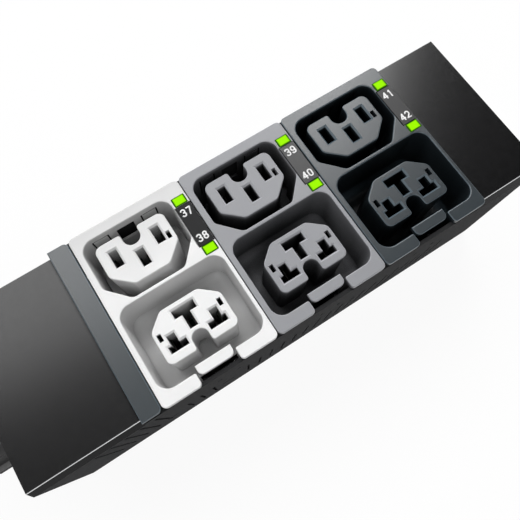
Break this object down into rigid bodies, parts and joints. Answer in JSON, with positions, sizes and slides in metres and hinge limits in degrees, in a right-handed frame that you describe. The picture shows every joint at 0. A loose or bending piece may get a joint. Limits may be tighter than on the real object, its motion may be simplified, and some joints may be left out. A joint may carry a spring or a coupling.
{
  "type": "rack power distribution unit",
  "caption": "Slim rack power distribution unit: a vented steel channel with coloured outlet modules, sprung plug release latches, status lights and a cable gland.",
  "frame": {"origin": "on the plane of the unit's back, under the middle of the overall box with the gland included", "axes": "+X along the unit towards its plain end, +Y towards the upper outlets, +Z out of the outlet faces"},
  "size_m": [0.1986, 0.0572, 0.0586],
  "materials": {
    "chassis_paint": "fine textured powder coat",
    "cover_paint": "satin powder coat",
    "slate_plastic": "fine moulded texture",
    "white_plastic": "fine moulded texture",
    "grey_plastic": "fine moulded texture",
    "number_plate": "matt printed film",
    "green_lens": "clear tinted",
    "zinc_steel": "zinc plated",
    "contact_brass": "rolled strip",
    "board_green": "solder mask",
    "black_plastic": "moulded",
    "clear_emitter": "clear resin",
    "seal_rubber": "moulded"
  },
  "bodies": {
    "unit": {"chassis_channel": "chassis_paint", "left_end_plate": "chassis_paint", "right_end_plate": "chassis_paint", "left_cover": "cover_paint", "right_cover": "cover_paint", "spacer_strip": "slate_plastic", "module_front_slate": "slate_plastic", "contact_block_slate": "slate_plastic", "module_front_white": "white_plastic", "contact_block_white": "white_plastic", "module_front_grey": "grey_plastic", "contact_block_grey": "grey_plastic", "number_plate_white": "number_plate", "number_plate_grey": "number_plate", "number_plate_slate": "number_plate", "status_lenses_white": "green_lens", "status_lenses_grey": "green_lens", "status_lenses_slate": "green_lens", "latch_pins": "zinc_steel", "latch_springs": "zinc_steel", "block_screws": "zinc_steel", "board_screws": "zinc_steel", "board_standoffs": "zinc_steel", "back_screws": "zinc_steel", "terminal_screws": "zinc_steel", "earth_stud": "zinc_steel", "earth_nut": "zinc_steel", "mount_nuts": "zinc_steel", "line_contacts": "contact_brass", "neutral_contacts": "contact_brass", "earth_contacts": "contact_brass", "line_bus": "contact_brass", "neutral_bus": "contact_brass", "earth_bus": "contact_brass", "outlet_board": "board_green", "outlet_relays": "black_plastic", "terminal_block": "black_plastic", "gland_body": "black_plastic", "gland_lock_nut": "black_plastic", "gland_dome_nut": "black_plastic", "light_emitters": "clear_emitter", "gland_seal": "seal_rubber"},
    "release_latch_white": {"latch_white": "white_plastic"},
    "release_latch_grey": {"latch_grey": "grey_plastic"},
    "release_latch_slate": {"latch_slate": "slate_plastic"}
  },
  "joints": [
    {"name": "release_white", "type": "hinge", "parent": "unit", "child": "release_latch_white", "pos_m": [-0.01768, -0.0259, 0.0421], "axis": [1, 0, 0], "range_deg": [0, 5.5], "stiffness_Nm_per_rad": 0.1, "springref_deg": -5.73},
    {"name": "release_grey", "type": "hinge", "parent": "unit", "child": "release_latch_grey", "pos_m": [0.01982, -0.0259, 0.0421], "axis": [1, 0, 0], "range_deg": [0, 5.5], "stiffness_Nm_per_rad": 0.1, "springref_deg": -5.73},
    {"name": "release_slate", "type": "hinge", "parent": "unit", "child": "release_latch_slate", "pos_m": [0.05732, -0.0259, 0.0421], "axis": [1, 0, 0], "range_deg": [0, 5.5], "stiffness_Nm_per_rad": 0.1, "springref_deg": -5.73}
  ]
}
